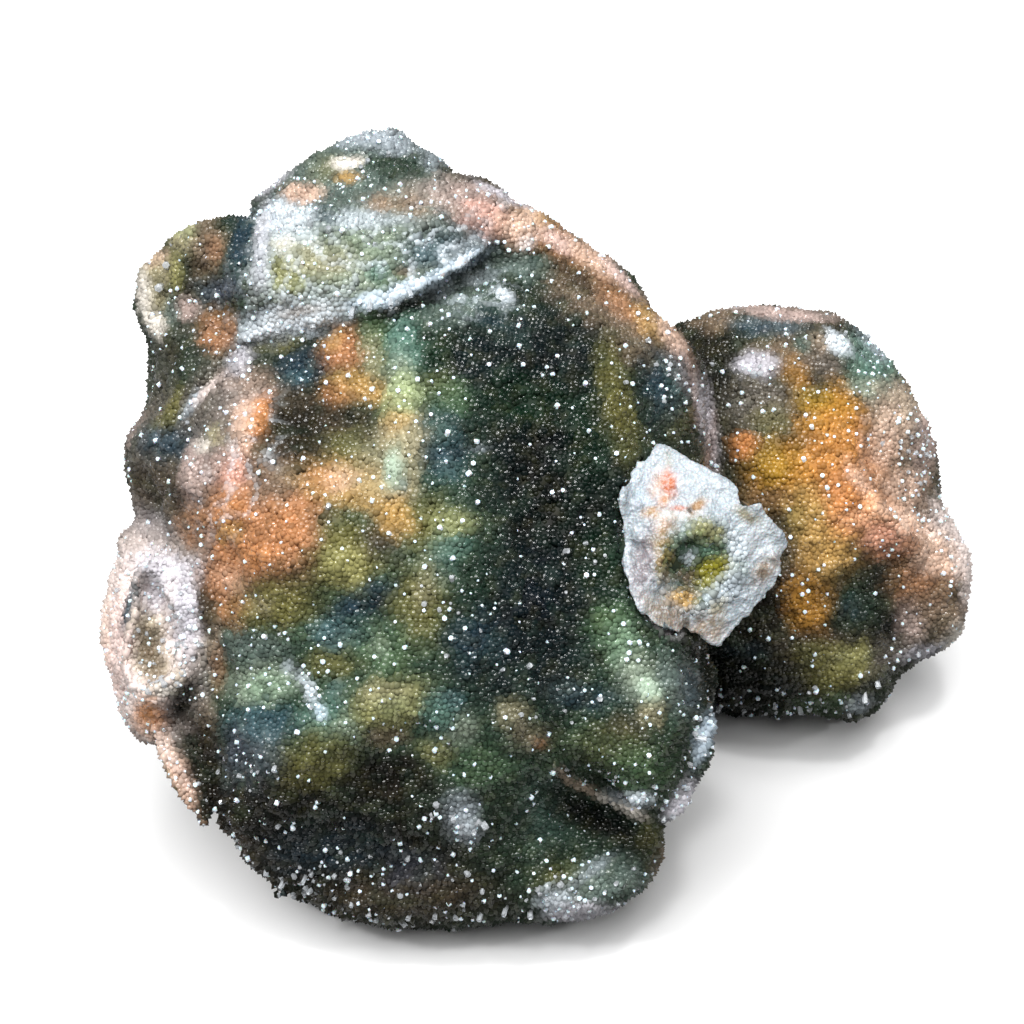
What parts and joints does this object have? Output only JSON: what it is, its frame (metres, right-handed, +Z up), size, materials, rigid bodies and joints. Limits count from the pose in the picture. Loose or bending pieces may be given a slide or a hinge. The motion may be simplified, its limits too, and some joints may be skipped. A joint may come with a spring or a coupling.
{
  "type": "chalcedony druse",
  "caption": "Lobed chalcedony specimen coated with fine drusy quartz points, standing on a flat broken base",
  "frame": {"origin": "middle of the footprint, on the surface that the broken base rests on", "axes": "+X runs across the broad face to its right, from the large dome to the right lobe; +Y goes from the broad face to the back; +Z up, out of the flat base"},
  "size_m": [0.1028, 0.0896, 0.0773],
  "materials": {
    "chalcedony_druse": "glittering drusy quartz over mottled dark green, orange and pink chalcedony"
  },
  "bodies": {
    "root": {"chalcedony_druse": "chalcedony_druse"}
  },
  "joints": []
}
